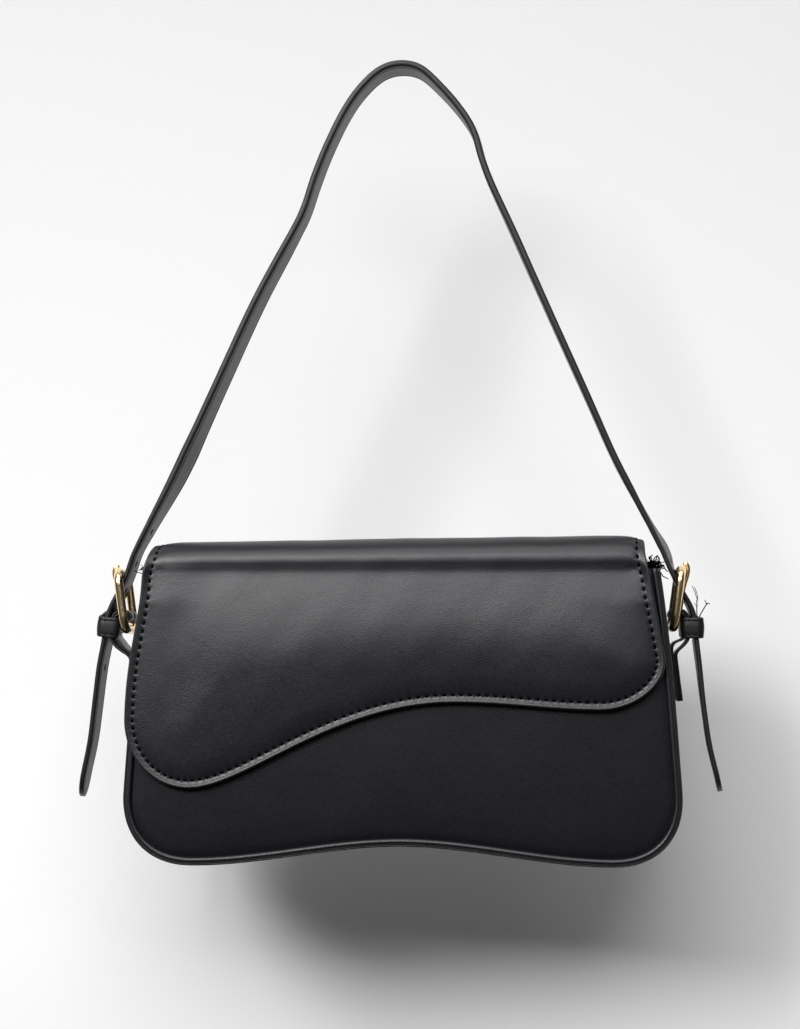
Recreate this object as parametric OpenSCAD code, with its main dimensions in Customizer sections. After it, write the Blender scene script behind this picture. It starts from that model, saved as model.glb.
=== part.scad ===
// Small shoulder bag of black imitation leather with a wavy flap, hanging by its strap.
// Millimetres. X is to the right, Y is away from the viewer, Z is up.
// The origin is the underside of the strap at its highest point, where it hangs.

/* [Bag body] */
// Width over the piping at the mouth
body_w_top = 241; // [225:1:250]
// Width over the piping at the widest place, near the bottom
body_w_max = 260.4; // [256:0.2:264]
// Distance from the hanging point down to the mouth
mouth_drop = 243.3; // [243:0.1:244]
// Height of the body from the mouth to its lowest point
body_h = 138.1; // [130:0.1:145]
// How far the bottom edge rises in the middle
bottom_rise = 9.1; // [0:0.1:12]
// Sideways place of the body under the hanging point
body_x = 1.8; // [0:0.1:2]
// Depth over the front and back panels
body_depth = 55.2; // [54:0.2:56]
// Thickness of a padded panel
panel_t = 2; // [1.5:0.1:2]
// Radius of the piping
piping_r = 1.9; // [1.5:0.1:1.9]
// Thickness of the gusset
gusset_t = 1.6; // [1:0.1:1.6]
// Thickness of the lining
lining_t = 0.5; // [0.3:0.1:0.5]

/* [Flap] */
// Height of the soft top above the front crease
flap_rise = 14.5; // [12:0.1:15]
// Thickness of the flap
flap_t = 2.6; // [2.2:0.1:2.6]
// Thickness of the flap's outer layer
flap_face_t = 1.2; // [1:0.1:1.2]
// Thickness of the stiffening board inside the flap
flap_board_t = 0.7; // [0.5:0.1:0.7]
// How far the flap is sewn down the back
flap_seam_h = 15; // [10:1:20]

/* [Strap] */
// Width of the strap
strap_w = 20; // [18:0.5:20]
// Thickness of the strap over the shoulder
strap_t = 3.2; // [2.4:0.1:3.2]
// Thickness of the strap's ends, which are pared down
billet_t = 2.3; // [2:0.1:2.3]
// Distance between the holes near each end
hole_pitch = 17.5; // [15:0.5:20]
// Diameter of a hole
hole_d = 3.2; // [3:0.1:3.4]

/* [Buckles] */
// Height of a buckle between the middles of its top and bottom bars
buckle_h = 27.4; // [27:0.1:28]
// Width of a buckle between the middles of its side bars
buckle_w = 27.4; // [27:0.1:30]
// Radius of a buckle's outer bars
wire_r = 2.1; // [1.8:0.1:2.1]
// Radius of the bar that the leather loop holds
bar_r = 1.8; // [1.5:0.1:1.8]
// Lean of a buckle away from the bag, in degrees
buckle_lean = 8; // [6:0.5:9]
// Thickness of one layer of the leather loop
loop_t = 1.2; // [1:0.1:1.2]

/* [Zip] */
// Width of a row of teeth
teeth_w = 2.85; // [2.5:0.05:3]
// Distance between teeth
teeth_pitch = 3; // [2.5:0.1:4]
// Half of the length that opens
zip_half = 97; // [90:1:98]

/* [Hidden] */

black = "#232326";
grey = "#3a3a3e";
gold = "#c9a45c";

mouth_z = -mouth_drop;
low_z = mouth_z - body_h;
panel_y = body_depth / 2;
bend_steps = 12;

// Points on a cubic Bezier curve from a to d, without the last one
function bend(a, b, c, d, n = bend_steps) = [
    for (i = [0 : n - 1]) let (t = i / n, s = 1 - t)
        s * s * s * a + 3 * s * s * t * b + 3 * s * t * t * c + t * t * t * d
];

// Smooth open curve through the points p, n steps in each stretch
function smooth(p, n = 4) = concat([
    for (i = [0 : len(p) - 2]) for (j = [0 : n - 1])
        let (a = p[max(i - 1, 0)], b = p[i], c = p[i + 1], d = p[min(i + 2, len(p) - 1)], t = j / n)
            0.5 * (2 * b + (c - a) * t + (2 * a - 5 * b + 4 * c - d) * t * t
                + (3 * b - a - 3 * c + d) * t * t * t)
], [p[len(p) - 1]]);

function unit(v) = v / norm(v);
function turned(v) = [-v[1], v[0]];

// Direction of the open curve p at its point i
function heading(p, i) = unit(p[min(i + 1, len(p) - 1)] - p[max(i - 1, 0)]);

// The open curve p moved sideways by d, to its left
function beside(p, d) = [for (i = [0 : len(p) - 1]) p[i] + turned(heading(p, i)) * d];

function reversed(p) = [for (i = [len(p) - 1 : -1 : 0]) p[i]];

// Outline of a ribbon of thickness t along the open curve p
function ribbon(p, t) = concat(beside(p, t / 2), reversed(beside(p, -t / 2)));

function mirrored(p) = [for (q = reversed(p)) [-q[0], q[1]]];

// Length of the open curve p up to its point i
function length_to(p, i) = i == 0 ? 0 : length_to(p, i - 1) + norm(p[i] - p[i - 1]);

// Solid between y0 and y1 whose outline p is given in X and Z
module across(p, y0, y1) {
    translate([0, y1, 0]) rotate([90, 0, 0]) linear_extrude(y1 - y0) polygon(p);
}

// Solid between x0 and x1 whose outline p is given in Y and Z
module along(p, x0, x1) {
    translate([x0, 0, 0]) rotate([90, 0, 90]) linear_extrude(x1 - x0) polygon(p);
}

// Round bar along Y between y0 and y1
module bar(x, z, r, y0, y1) {
    translate([x, y0, z]) rotate([-90, 0, 0]) cylinder(h = y1 - y0, r = r, $fn = 48);
}

// Box between two corners
module block(a, b) {
    translate(a) cube(b - a);
}

// The right half of the body's outline, from the mouth down to the middle of the bottom
corner_in = 98;
side_h = 105.7;
half_outline = concat(
    bend([body_w_top / 2, mouth_z], [body_w_top / 2 + 5, mouth_z - 32],
        [body_w_max / 2 - 2.2, mouth_z - 72], [body_w_max / 2, mouth_z - side_h]),
    bend([body_w_max / 2, mouth_z - side_h], [body_w_max / 2 + 0.4, mouth_z - side_h - 19],
        [corner_in + 21, low_z], [corner_in, low_z]),
    bend([corner_in, low_z], [corner_in * 0.67, low_z],
        [corner_in * 0.33, low_z + bottom_rise], [0, low_z + bottom_rise]),
    [[0, low_z + bottom_rise]]
);

// The whole U of the body from the right end of the mouth round to the left end
u_line = concat(half_outline, [for (i = [1 : len(half_outline) - 1]) mirrored(half_outline)[i]]);

// The U moved inwards by d and kept level at the mouth
function inset_u(d) = [
    for (i = [0 : len(u_line) - 1]) let (q = beside(u_line, -d)[i])
        [q[0] + body_x, (i == 0 || i == len(u_line) - 1) ? mouth_z : q[1]]
];

module panel(y0, y1) {
    across(inset_u(2 * piping_r + 0.1), y0, y1);
}

module front_panel() {
    color(black) difference() {
        panel(-panel_y, -panel_y + panel_t);
        bar(0, snap_z, snap_r + 0.1, -panel_y - 1, -panel_y + panel_t - 0.6);
    }
}

// The back panel is thinned under the seam, so that the flap lies flush on it
module back_panel() {
    color(black) difference() {
        panel(panel_y - panel_t, panel_y);
        block([-150, panel_y - seam_sink, seam_z - 0.1], [150, panel_y + 1, mouth_z + 1]);
    }
}

module gusset() {
    color(black) across(concat(inset_u(0.6), reversed(inset_u(0.6 + gusset_t))),
        -panel_y + panel_t + 0.6, panel_y - panel_t - 0.6);
}

module lining() {
    out = 0.7 + gusset_t + 0.1;
    y = panel_y - panel_t - 0.6;
    color(grey) difference() {
        across(inset_u(out), -y, y);
        across(concat([[-140, mouth_z + 5], [140, mouth_z + 5]], cut_inside(out + lining_t)),
            -y + lining_t, y - lining_t);
    }
}

// The inside of the lining, run up past the mouth so that it is open there
function cut_inside(d) = let (p = inset_u(d))
    concat([[p[0][0], mouth_z + 5]], p, [[p[len(p) - 1][0], mouth_z + 5]]);

// A round cord swept along the U, with its own flat ends at the mouth
piping_sides = 8;
module piping(y) {
    path = inset_u(piping_r);
    n = len(path);
    rings = [
        for (i = [0 : n - 1]) let (side = turned(heading(path, i))) for (k = [0 : piping_sides - 1])
            let (a = 360 * (k + 0.5) / piping_sides, r = piping_r / cos(180 / piping_sides) * 0.97)
                [path[i][0] + side[0] * r * cos(a), y + r * sin(a), path[i][1] + side[1] * r * cos(a)]
    ];
    walls = [
        for (i = [0 : n - 2]) for (k = [0 : piping_sides - 1])
            let (a = i * piping_sides + k, b = i * piping_sides + (k + 1) % piping_sides)
                [a, b, b + piping_sides, a + piping_sides]
    ];
    ends = [
        [for (k = [piping_sides - 1 : -1 : 0]) k],
        [for (k = [0 : piping_sides - 1]) (n - 1) * piping_sides + k]
    ];
    polyhedron(rings, concat(walls, ends), convexity = 8);
}

module piping_front() {
    color(black) piping(-piping_y);
}

module piping_back() {
    color(black) piping(piping_y);
}
piping_y = panel_y - panel_t / 2 + 0.4;

// The flap
crease_z = mouth_z - 0.9;
flap_y = -31.8;
flap_in_y = flap_y + flap_t;
hinge_gap = 0.15;
seam_sink = 1.2;
seam_y = panel_y + flap_t - seam_sink;
seam_z = mouth_z - flap_seam_h;
back_hinge_z = mouth_z + 0.4;
top_z = crease_z + flap_rise;
flap_x0 = -116.5;
flap_x1 = 115.5;
edge_left = -126.8;
edge_right = 123.4;

// Outline of the stiff front of the flap: straight at the crease, with a low lobe at the left
// and an S-shaped lower edge that rises to a shallow dip at the right
flap_top_edge = crease_z - hinge_gap;
flap_low = -345.7;
flap_high = -305.9;
flap_dip = -309.4;
flap_line = concat(
    bend([flap_x0, flap_top_edge], [flap_x0 - 1.6, flap_top_edge - 0.5],
        [flap_x0 - 2.8, flap_top_edge - 2.5], [flap_x0 - 3, flap_top_edge - 4], 4),
    bend([flap_x0 - 3, flap_top_edge - 4], [flap_x0 - 3.3, -266],
        [edge_left + 0.4, -284], [edge_left, -313.3]),
    bend([edge_left, -313.3], [edge_left, -331.3], [-114, flap_low], [-97, flap_low]),
    bend([-97, flap_low], [-70, flap_low], [-30, flap_high + 0.4], [28, flap_high], 18),
    bend([28, flap_high], [52, flap_high], [70, flap_dip], [94, flap_dip], 8),
    bend([94, flap_dip], [110, flap_dip], [edge_right + 0.2, -298.3], [edge_right, -285.8]),
    bend([edge_right, -285.8], [121.6, -272], [119.6, -262], [117.6, -249], 6),
    bend([117.6, -249], [117.4, -247], [117, -245], [flap_x1, flap_top_edge], 4),
    [[flap_x1, flap_top_edge]]
);

function flap_inset(d) = [
    for (q = beside(flap_line, d)) [q[0], min(q[1], flap_top_edge)]
];

// One layer of the flap's front, set in by d from the edge
module flap_layer(d, y0, y1) {
    across(flap_inset(d), y0, y1);
}

board_y = flap_y + flap_face_t;
flap_lining_y = board_y + flap_board_t;

module flap_face() {
    color(black) flap_layer(0, flap_y, board_y);
}

module flap_board() {
    color("tan") difference() {
        flap_layer(4, board_y, flap_lining_y);
        bar(0, snap_z, snap_r + 0.1, board_y - 1, flap_lining_y + 1);
    }
}

module flap_lining() {
    color(grey) difference() {
        flap_layer(0.6, flap_lining_y, flap_in_y);
        bar(0, snap_z, snap_r + 0.1, flap_lining_y - 1, flap_in_y + 1);
    }
}

// Arc in Y and Z about a centre, from angle a to angle b
function arc(y, z, r, a, b, n = 12) = [for (i = [0 : n]) let (t = a + (b - a) * i / n) [y + r * cos(t), z + r * sin(t)]];

// The soft top of the flap rolls over from the seam at the back to the crease at the front
module flap_top() {
    back_z = back_hinge_z + hinge_gap;
    front_z = crease_z + hinge_gap;
    r_back = top_z - back_z;
    r_front = top_z - front_z;
    outer = concat(arc(seam_y - r_back, back_z, r_back, 0, 90), arc(flap_y + r_front, front_z, r_front, 90, 180));
    inner = concat(arc(seam_y - r_back, back_z, r_back - flap_t, 0, 90),
        arc(flap_y + r_front, front_z, r_front - flap_t, 90, 180));
    color(black) along(concat(outer, reversed(inner)), flap_x0, flap_x1);
}

module flap_seam() {
    color(black) block([-113.5, seam_y - flap_t, seam_z], [113, seam_y, back_hinge_z - hinge_gap]);
}

// Magnetic snap between the flap and the front panel
snap_z = -292;
snap_r = 6.5;
post_r = 2.2;

module snap_stud() {
    color(gold) {
        bar(0, snap_z, snap_r, board_y, -28.7);
        bar(0, snap_z, post_r, -28.7, -27.2);
    }
}

module snap_socket() {
    color(gold) difference() {
        bar(0, snap_z, snap_r, -28.4, -panel_y + panel_t - 0.7);
        bar(0, snap_z, post_r + 0.4, -29, -26.9);
    }
}

// The strap. Its middle line is a list of places chosen by eye, from the top down each side.
strap_right = [
    [10, -0.6], [20, -9.6], [29, -21], [35, -31.6], [39, -45], [43.4, -57], [54.5, -80.5],
    [72.2, -121.3], [90, -161.5], [101.8, -188.4], [111.8, -208.5], [119.4, -222], [125.4, -233.5],
    [129, -243.2], [132.7, -251.5], [137.3, -260], [139.6, -267.5], [140.3, -277], [142.6, -304.5],
    [145.7, -324.6], [148.8, -339.5], [150.3, -347.5]
];
strap_left = [
    [9.5, -1.2], [18, -10], [26, -21.8], [35, -38.6], [41, -53.5], [46, -68.6], [52, -81],
    [69.4, -113.1], [88.3, -153.5], [106.9, -193.9], [120, -220.8], [126.3, -233.8],
    [130.3, -243.9], [133.8, -251.8], [138, -260], [140.4, -267.5], [141.4, -277], [145.2, -304.7],
    [147.8, -324], [150.8, -340], [152.2, -348.5]
];
strap_line = smooth(concat(mirrored(strap_left), [[0, strap_t / 2]], strap_right));

// The strap is thick over the shoulder and pared down towards both ends
pared_from = -200;
pared_to = -232;
function strap_half(z) = let (k = min(max((z - pared_to) / (pared_from - pared_to), 0), 1))
    (billet_t + (strap_t - billet_t) * k) / 2;
function strap_face(side) = [
    for (i = [0 : len(strap_line) - 1])
        strap_line[i] + side * strap_half(strap_line[i][1]) * turned(heading(strap_line, i))
];

// Index of the strap's point nearest to the place q
function nearest(p, q, i = 0, best = 0) = i == len(p) ? best
    : nearest(p, q, i + 1, norm(p[i] - q) < norm(p[best] - q) ? i : best);

// Point and heading at the length s along the open curve p
function place(p, s, i = 0) =
    let (step = norm(p[i + 1] - p[i]))
        (s <= step || i == len(p) - 2) ? [p[i] + unit(p[i + 1] - p[i]) * s, heading(p, i)]
            : place(p, s - step, i + 1);

// A hole square through the strap at the length s, stretched by half of the width long
module strap_hole(s, long = 0) {
    q = place(strap_line, s);
    angle = atan2(q[1][1], q[1][0]);
    translate([q[0][0], 0, q[0][1]]) rotate([0, -angle, 0]) {
        for (e = [-1, 1]) translate([e * long, 0, -6]) cylinder(h = 12, d = hole_d, $fn = 32);
        if (long > 0) block([-long, -hole_d / 2, -6], [long, hole_d / 2, 6]);
    }
}

// Cutter that rounds a hanging end of the strap, seen from the side of the bag
module round_end(x0, x1, z) {
    r = strap_w / 2;
    difference() {
        block([x0, -r - 1, z - 1], [x1, r + 1, z + r]);
        translate([x0 - 1, 0, z + r]) rotate([0, 90, 0]) cylinder(h = x1 - x0 + 2, r = r, $fn = 64);
    }
}

// Where the prong crosses the strap on each side
cross_right = [134.5, -255.2];
cross_left = [135.4, -254.9];
stretched = 3.8;

module shoulder_strap() {
    s_left = length_to(strap_line, nearest(strap_line, [-cross_left[0], cross_left[1]]));
    s_right = length_to(strap_line, nearest(strap_line, cross_right));
    color(black) difference() {
        across(concat(strap_face(1), reversed(strap_face(-1))), -strap_w / 2, strap_w / 2);
        for (k = [-2 : 2]) {
            strap_hole(s_left + k * hole_pitch, k == 0 ? stretched : 0);
            strap_hole(s_right + k * hole_pitch, k == 0 ? stretched : 0);
        }
        round_end(-158, -146, strap_left[len(strap_left) - 1][1] - 0.2);
        round_end(146, 158, strap_right[len(strap_right) - 1][1] - 0.2);
    }
}

// The buckles. Each side has its own place, because the strap does not hang quite evenly.
// Places are distances out from the middle of the bag and heights.
top_right = [133.2, -243.2];
top_left = [134.5, -243.9];
bar_down = 21;
function buckle_top(side) = side > 0 ? top_right : top_left;
lean_up = [sin(buckle_lean), cos(buckle_lean)];
function bar_place(side) = buckle_top(side) - bar_down * lean_up;

// Draws the children for one side of the bag: X is out from the middle
module on_side(side) {
    if (side > 0) children();
    else mirror([1, 0, 0]) children();
}

// Draws the children about a buckle's leather bar, with Z up along the leaning buckle
module on_bar(side) {
    on_side(side) translate([bar_place(side)[0], 0, bar_place(side)[1]]) rotate([0, buckle_lean, 0]) children();
}

// A rounded frame of round wire with a straight bar across it for the leather loop
corner_r = 6;
module buckle(side) {
    y = buckle_w / 2 - corner_r;
    z_top = bar_down - corner_r;
    z_low = bar_down - buckle_h + corner_r;
    color(gold) on_bar(side) {
        for (e = [-1, 1]) {
            translate([0, e * (y + corner_r), z_low]) cylinder(h = z_top - z_low, r = wire_r, $fn = 48);
            translate([0, e * y, z_top]) rotate([90, 0, 90]) rotate([0, 0, e > 0 ? 0 : 90])
                rotate_extrude(angle = 90, $fn = 64) translate([corner_r, 0]) circle(r = wire_r, $fn = 48);
            translate([0, e * y, z_low]) rotate([90, 0, 90]) rotate([0, 0, e > 0 ? 270 : 180])
                rotate_extrude(angle = 90, $fn = 64) translate([corner_r, 0]) circle(r = wire_r, $fn = 48);
        }
        bar(0, bar_down, wire_r, -y, y);
        bar(0, bar_down - buckle_h, wire_r, -y, y);
        bar(0, 0, bar_r, -buckle_w / 2, buckle_w / 2);
    }
}

module buckle_left() { buckle(-1); }
module buckle_right() { buckle(1); }

// The prong: an eye round the bar and an arm that hooks over the outside of the top bar.
// Places are in the buckle's own plane: outwards from it, and up from the bar.
run_fit = 0.05;
eye_t = 1;
prong_w = 2.8;
prong_line = smooth([[2.5, 0], [2.65, 4], [2.7, 8], [2.9, 12], [3.3, 15.5], [3.75, 19], [3.8, 21.5], [3, 23.8], [1.2, 25]], 3);
prong_thin = 1.8;
prong_thick = 2.5;
function prong_half(i) = let (k = i / (len(prong_line) - 1))
    (prong_thin + (prong_thick - prong_thin) * max(0, (k - 0.45) / 0.55)) / 2;
function prong_face(side) = [
    for (i = [0 : len(prong_line) - 1])
        prong_line[i] + side * prong_half(i) * turned(heading(prong_line, i))
];

module prong(side) {
    color(gold) on_bar(side) difference() {
        union() {
            bar(0, 0, bar_r + run_fit + eye_t, -prong_w / 2, prong_w / 2);
            across(concat(prong_face(1), reversed(prong_face(-1))), -prong_w / 2, prong_w / 2);
        }
        bar(0, 0, bar_r + run_fit, -prong_w, prong_w);
    }
}

module prong_left() { prong(-1); }
module prong_right() { prong(1); }

// The leather loop: a strip folded round the bar, its two layers sewn together, led out
// through the keeper and back in to the side of the bag, where its end is a round tongue
swing_z = -286;
tongue_r = strap_w / 2;
tongue_right = 131.6;
tongue_left = 128;
loop_line_right = smooth([bar_place(1), [132.3, -262.8], [134.4, -263.4], [135.7, -265.6], [136.1, -268.6],
    [136.2, -272.4], [135.9, -275.2], [134.7, -278], [132.9, -280.7], [131.8, -283.3], [tongue_right, -286],
    [tongue_right, -290], [tongue_right, swing_z - tongue_r]]);
loop_line_left = smooth([bar_place(-1), [133.7, -263.3], [135.8, -263.7], [137.1, -265.9], [137.4, -268.8],
    [137.4, -271.5], [137.4, -274.5], [136.9, -276.4], [135.4, -278.7], [132.9, -280.7], [130.1, -282.5],
    [128.4, -284.3], [tongue_left, -287], [tongue_left, -291], [tongue_left, swing_z - tongue_r]]);

module leather_loop(side) {
    line = side > 0 ? loop_line_right : loop_line_left;
    b = bar_place(side);
    fold_r = bar_r + run_fit + loop_t;
    half = strap_w / 2;
    slot = prong_w / 2 + 0.5;
    color(black) on_side(side) difference() {
        union() {
            bar(b[0], b[1], fold_r, -half, half);
            across(ribbon(line, 2 * loop_t), -half, half);
        }
        bar(b[0], b[1], bar_r + run_fit, -half - 1, half + 1);
        // slot for the prong's eye and arm
        translate([b[0], 0, b[1]]) rotate([0, buckle_lean, 0])
            block([-fold_r - 1, -slot, -fold_r + 0.1], [fold_r + 4, slot, fold_r + 4]);
        // round tongue
        difference() {
            block([120, -half - 1, swing_z - tongue_r - 1], [140, half + 1, swing_z]);
            translate([119, 0, swing_z]) rotate([0, 90, 0]) cylinder(h = 22, r = tongue_r, $fn = 64);
        }
    }
}

module loop_left() { leather_loop(-1); }
module loop_right() { leather_loop(1); }

// The tab sewn to the side of the bag: a pad under the tongue and a patch below it
tab_low = -305;
tab_high = -279.5;
tab_gap = 0.3;

// Distance out to the gusset's face at the height z, on one side
function gusset_out(side, z) =
    let (p = beside(u_line, -0.6), i = nearest(p, [body_w_max / 2, z]))
        lookup(z, [for (j = [18 : -1 : 0]) [p[j][1], p[j][0]]]) + side * body_x;

module tab(side) {
    face = (side > 0 ? tongue_right : tongue_left) - loop_t - tab_gap;
    patch = face + tab_gap + 2 * loop_t;
    patch_top = swing_z - tongue_r - tab_gap;
    steps = 6;
    inner = [
        for (i = [0 : steps]) let (z = tab_low + (tab_high - tab_low) * i / steps)
            [gusset_out(side, z) + 0.02, z]
    ];
    color(black) on_side(side) union() {
        across(concat(inner, [[face, tab_high], [face, tab_low]]), -strap_w / 2, strap_w / 2);
        block([face - 0.5, -strap_w / 2, tab_low], [patch, strap_w / 2, patch_top]);
    }
}

module tab_left() { tab(-1); }
module tab_right() { tab(1); }

// The keeper: a sewn leather band round the loop and the hanging end of the strap
keeper_h = 9.8;
keeper_w = 10.4;
keeper_t = 1.2;
keeper_y = strap_w / 2 + 0.3 + keeper_t;
keeper_right_at = [138.2, -270.6];
keeper_left_at = [139.3, -271.5];
keeper_left_tilt = 2;

module rounded(x, y, r) {
    square([2 * x - 2 * r, 2 * y], center = true);
    square([2 * x, 2 * y - 2 * r], center = true);
    for (e = [-1, 1]) for (v = [-1, 1]) translate([e * (x - r), v * (y - r)]) circle(r = r, $fn = 32);
}

module keeper(side) {
    at = side > 0 ? keeper_right_at : keeper_left_at;
    color(black) on_side(side) translate([at[0], 0, at[1]]) rotate([0, side > 0 ? 0 : -keeper_left_tilt, 0])
        linear_extrude(keeper_h, center = true) difference() {
            rounded(keeper_w / 2, keeper_y, 2.2);
            rounded(keeper_w / 2 - keeper_t, keeper_y - keeper_t, 0.8);
        }
}

module keeper_left() { keeper(-1); }
module keeper_right() { keeper(1); }

// The zip. Each half turns down into the bag about a line beside the lining.
tape_t = 0.8;
zip_z = mouth_z - 0.6;
fold_y = panel_y - panel_t - 0.6 - lining_t - 0.5;
tape_from = fold_y;
teeth_in = 0.55;
teeth_h = 2;
tape_to = teeth_in + teeth_w - 0.2;
end_right_x = 117;
end_left_x = -113.6;

module tape(x0, x1) {
    block([x0, tape_to, zip_z - tape_t / 2], [x1, tape_from, zip_z + tape_t / 2]);
}

// A comb of square teeth along a cord, between x0 and x1
module teeth(x0, x1) {
    root = teeth_w * 0.45;
    n = floor((x1 - x0) / teeth_pitch);
    start = (x0 + x1 - n * teeth_pitch) / 2;
    comb = concat(
        [[x0, teeth_in + teeth_w], [x0, teeth_in + teeth_w - root]],
        [for (i = [0 : n - 1]) let (x = start + i * teeth_pitch, a = teeth_pitch * 0.22, b = teeth_pitch * 0.78)
            each [[x + a, teeth_in + teeth_w - root], [x + a, teeth_in],
                [x + b, teeth_in], [x + b, teeth_in + teeth_w - root]]],
        [[x1, teeth_in + teeth_w - root], [x1, teeth_in + teeth_w]]
    );
    translate([0, 0, zip_z - teeth_h / 2]) linear_extrude(teeth_h) polygon(comb);
}

module zip_tape_back() { color(black) tape(-zip_half, zip_half); }
module zip_tape_front() { color(black) mirror([0, 1, 0]) tape(-zip_half, zip_half); }

module zip_teeth_back() {
    color(gold) difference() {
        teeth(-zip_half, zip_half);
        tape(-zip_half - 1, zip_half + 1);
    }
}

module zip_teeth_front() {
    color(gold) mirror([0, 1, 0]) difference() {
        teeth(-zip_half, zip_half);
        tape(-zip_half - 1, zip_half + 1);
    }
}

// A fixed end of the zip, where the slider parks: both tapes, their teeth and the stop
module zip_end(x0, x1, stop_x) {
    color(black) union() {
        for (e = [0, 1]) mirror([0, e, 0]) {
            tape(x0, x1);
            teeth(x0, x1);
            block([x0, tape_from - 0.1, zip_z - tape_t / 2], [x1, fold_y + 0.5, zip_z + tape_t / 2]);
        }
        block([stop_x, -teeth_w, zip_z - teeth_h / 2], [stop_x + 1.6, teeth_w, zip_z + teeth_h / 2]);
    }
}

module zip_end_left() { zip_end(end_left_x, -zip_half - 0.4, end_left_x); }
module zip_end_right() { zip_end(zip_half + 0.4, end_right_x, end_right_x - 1.6); }

// The slider parks over the right end; its pull lies along the zip
slider_x = 104.5;
slider_l = 11;
slider_y = 4.2;
plate_t = 1.2;
plate_gap = 0.3;
pull_z = zip_z + teeth_h / 2 + plate_gap + plate_t + 1;
pull_l = 23;
pull_w = 6;
pull_t = 1.2;
bridge_w = 2.4;
bridge_x = 3.6;

module slider_plate(x) {
    z0 = teeth_h / 2 + plate_gap;
    difference() {
        union() {
            block([x - slider_l / 2, -slider_y, z0], [x + slider_l / 2, slider_y, z0 + plate_t]);
            for (e = [-1, 1]) block([x - slider_l / 2, e > 0 ? slider_y - 0.6 : -slider_y, tape_t / 2 + plate_gap],
                [x + slider_l / 2, e > 0 ? slider_y : -slider_y + 0.6, z0 + 0.1]);
        }
        // the narrow end, where the two rows leave together
        for (e = [-1, 1]) translate([x - slider_l / 2, e * (slider_y + 1.6), -1]) rotate([0, 0, e * 20])
            translate([-3, -1.5, 0]) cube([6, 3, 8]);
    }
}

module zip_slider() {
    color(gold) {
        translate([0, 0, zip_z]) {
            slider_plate(slider_x);
            mirror([0, 0, 1]) slider_plate(slider_x);
            block([slider_x + 2.2, -0.3, -teeth_h / 2 - plate_gap - 0.1], [slider_x + 5.2, 0.3, teeth_h / 2 + plate_gap + 0.1]);
        }
        // bridge that holds the pull
        translate([slider_x, 0, 0]) difference() {
            block([-bridge_x, -bridge_w / 2, pull_z - 1.1], [bridge_x, bridge_w / 2, pull_z + 1.7]);
            block([-bridge_x + 0.9, -bridge_w, pull_z - 1.3], [bridge_x - 0.9, bridge_w, pull_z + 0.85]);
        }
    }
}

module zip_pull() {
    window_x = [-5.4, -0.6];
    color(gold) difference() {
        union() {
            bar(slider_x, pull_z, pull_t / 2, -pull_w / 2, pull_w / 2);
            block([slider_x - pull_l + pull_w / 2, -pull_w / 2, pull_z - pull_t / 2], [slider_x, pull_w / 2, pull_z + pull_t / 2]);
            translate([slider_x - pull_l + pull_w / 2, 0, pull_z - pull_t / 2]) cylinder(h = pull_t, r = pull_w / 2, $fn = 48);
        }
        block([slider_x + window_x[0], -bridge_w / 2 - 0.4, pull_z - 2], [slider_x + window_x[1], bridge_w / 2 + 0.4, pull_z + 2]);
        translate([slider_x - pull_l + pull_w / 2, 0, pull_z - 2]) cylinder(h = 4, r = 1.4, $fn = 32);
    }
}

shoulder_strap();
loop_left();
loop_right();
keeper_left();
keeper_right();
buckle_left();
buckle_right();
prong_left();
prong_right();
front_panel();
back_panel();
gusset();
piping_front();
piping_back();
lining();
tab_left();
tab_right();
flap_seam();
zip_end_left();
zip_end_right();
snap_socket();
flap_top();
flap_face();
flap_board();
flap_lining();
snap_stud();
zip_tape_front();
zip_tape_back();
zip_teeth_front();
zip_teeth_back();
zip_slider();
zip_pull();
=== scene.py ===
import math
import random

import bmesh
import bpy
import numpy as np
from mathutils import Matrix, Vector
from mathutils.geometry import delaunay_2d_cdt


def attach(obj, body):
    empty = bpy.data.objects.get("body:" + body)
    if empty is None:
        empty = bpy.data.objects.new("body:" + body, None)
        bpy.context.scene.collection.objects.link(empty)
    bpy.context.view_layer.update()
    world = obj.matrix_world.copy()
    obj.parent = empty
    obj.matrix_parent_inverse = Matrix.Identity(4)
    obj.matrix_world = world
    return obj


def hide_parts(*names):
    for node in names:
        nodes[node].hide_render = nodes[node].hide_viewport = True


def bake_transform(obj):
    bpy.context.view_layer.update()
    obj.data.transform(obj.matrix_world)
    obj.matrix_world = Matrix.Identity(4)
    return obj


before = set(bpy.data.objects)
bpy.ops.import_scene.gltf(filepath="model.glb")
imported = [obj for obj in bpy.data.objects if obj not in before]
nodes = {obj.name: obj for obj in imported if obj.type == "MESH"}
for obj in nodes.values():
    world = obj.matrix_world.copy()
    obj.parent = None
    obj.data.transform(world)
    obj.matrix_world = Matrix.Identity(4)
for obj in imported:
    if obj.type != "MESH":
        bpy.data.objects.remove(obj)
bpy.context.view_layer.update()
random.seed(7)

# Sizes in millimetres, the same as in the part's source
MM = 0.001
MOUTH = -243.3
LOW = -381.4
RISE = 9.1
TOP_W = 241.0
MAX_W = 260.4
BODY_X = 1.8
PANEL_Y = 27.6
PANEL_INSET = 3.2
FLAP_Y = -31.8
FLAP_T = 2.6
CREASE = -244.2
TOP = -229.7
STRAP_HALF = 10.0
STRAP_T = 3.2
BILLET_T = 2.3
HOLE_R = 1.6
HOLE_PITCH = 17.5
HOLE_STRETCH = 3.8
LEAN = math.radians(8)
BAR_DOWN = 21.0
BUCKLE_TOP = {1: (133.2, -243.2), -1: (134.5, -243.9)}
SIDE_NAME = {1: "right", -1: "left"}


def xyz(x, y, z):
    return np.array([x, y, z], float)


# Plain curves in the plane
def bend(a, b, c, d, n):
    a, b, c, d = (np.array(p, float) for p in (a, b, c, d))
    t = np.linspace(0, 1, n, endpoint=False)[:, None]
    s = 1 - t
    return s ** 3 * a + 3 * s * s * t * b + 3 * s * t * t * c + t ** 3 * d


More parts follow.
